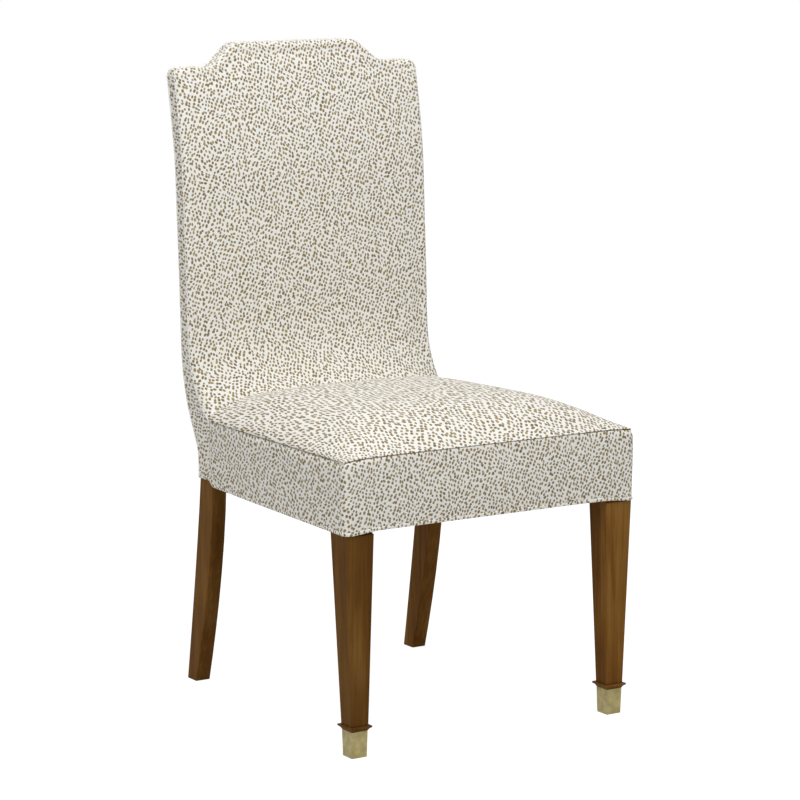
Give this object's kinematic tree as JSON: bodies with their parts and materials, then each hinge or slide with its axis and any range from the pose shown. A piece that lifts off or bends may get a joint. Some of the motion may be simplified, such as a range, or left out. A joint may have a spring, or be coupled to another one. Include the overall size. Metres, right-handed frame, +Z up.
{
  "type": "parsons chair",
  "caption": "Fully upholstered dining chair with a high curved back, a shaped crest, a crowned seat and tapered wooden legs in metal ferrules.",
  "frame": {"origin": "on the floor, under the middle of the chair's box", "axes": "+Z up, the chair faces -Y, its left side as seen from the front is -X"},
  "size_m": [0.529, 0.6246, 1.041],
  "materials": {
    "cover_fabric": "woven off-white cover with small brown dabs",
    "finished_wood": "satin warm brown stain",
    "frame_wood": "bare sanded hardwood",
    "aged_brass": "brushed and lightly aged",
    "steel": "zinc-plated",
    "foam": "open-cell upholstery foam",
    "wadding": "polyester wadding",
    "webbing": "woven jute webbing",
    "hessian": "plain-woven hessian",
    "dust_cloth": "black non-woven dust cloth"
  },
  "bodies": {
    "root": {"front_leg_left": "finished_wood", "leg_collar_left": "finished_wood", "ferrule_left": "aged_brass", "rear_post_left": "finished_wood", "side_rail_left": "frame_wood", "corner_block_front_left": "frame_wood", "block_screw_front_left_1": "steel", "block_screw_front_left_2": "steel", "corner_block_rear_left": "frame_wood", "block_screw_rear_left_1": "steel", "block_screw_rear_left_2": "steel", "front_leg_right": "finished_wood", "leg_collar_right": "finished_wood", "ferrule_right": "aged_brass", "rear_post_right": "finished_wood", "side_rail_right": "frame_wood", "corner_block_front_right": "frame_wood", "block_screw_front_right_1": "steel", "block_screw_front_right_2": "steel", "corner_block_rear_right": "frame_wood", "block_screw_rear_right_1": "steel", "block_screw_rear_right_2": "steel", "front_rail": "frame_wood", "rear_rail": "frame_wood", "lower_back_rail": "frame_wood", "crest_rail": "frame_wood", "seat_strap_lengthwise_1": "webbing", "seat_strap_crosswise_1": "webbing", "seat_strap_lengthwise_2": "webbing", "seat_strap_crosswise_2": "webbing", "seat_strap_lengthwise_3": "webbing", "seat_strap_crosswise_3": "webbing", "seat_strap_lengthwise_4": "webbing", "seat_strap_crosswise_4": "webbing", "back_strap_1": "webbing", "back_strap_2": "webbing", "back_strap_3": "webbing", "back_strap_4": "webbing", "seat_deck_cloth": "hessian", "back_cloth": "hessian", "dust_cover": "dust_cloth", "seat_foam": "foam", "seat_wadding": "wadding", "back_foam": "foam", "outside_back_wadding": "wadding", "side_panel_left": "cover_fabric", "side_wadding_left": "wadding", "side_panel_right": "cover_fabric", "side_wadding_right": "wadding", "crest_strip": "cover_fabric", "crest_wadding": "wadding", "border_wadding": "wadding", "inside_back_cover": "cover_fabric", "outside_back_cover": "cover_fabric", "seat_cover": "cover_fabric", "seat_border": "cover_fabric", "hem_band": "cover_fabric", "rear_hem_band": "cover_fabric"}
  },
  "joints": []
}
